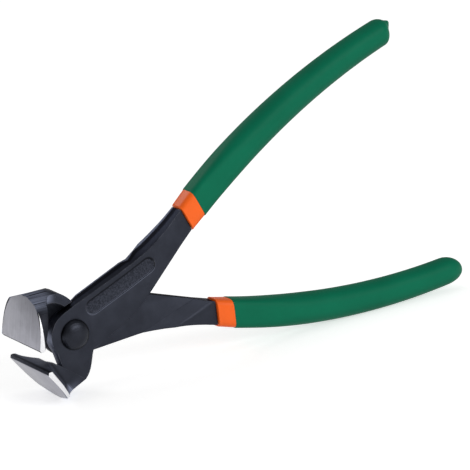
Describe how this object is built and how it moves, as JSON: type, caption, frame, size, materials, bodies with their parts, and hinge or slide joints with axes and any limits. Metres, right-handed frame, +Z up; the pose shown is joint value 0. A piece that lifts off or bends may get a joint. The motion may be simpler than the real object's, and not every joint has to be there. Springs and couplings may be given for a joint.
{
  "type": "end cutting nippers",
  "caption": "End cutting nippers, 200 mm class: two black forged levers on one domed rivet, ground cutting blades, green dipped grips with orange cuffs.",
  "frame": {"origin": "centre of the tool's footprint, on the surface it stands on", "axes": "+Z up; Y is the rivet's axis, the domed rivet head faces -Y; the cutting edges point to -X and the handles to +X"},
  "size_m": [0.1994, 0.0322, 0.1166],
  "materials": {
    "black_oxide_steel": "black oxide, satin",
    "rivet_steel": "black oxide, satin",
    "green_vinyl": "satin dipped vinyl",
    "orange_vinyl": "satin dipped vinyl"
  },
  "bodies": {
    "front": {"front_lever": "black_oxide_steel", "pivot_rivet": "rivet_steel", "upper_cuff": "orange_vinyl", "upper_grip": "green_vinyl"},
    "rear": {"rear_lever": "black_oxide_steel", "lower_cuff": "orange_vinyl", "lower_grip": "green_vinyl"}
  },
  "joints": [
    {"name": "jaw_pivot", "type": "hinge", "parent": "front", "child": "rear", "pos_m": [-0.07898, 0, 0.02413], "axis": [0, 1, 0], "range_deg": [-24, 10]}
  ]
}
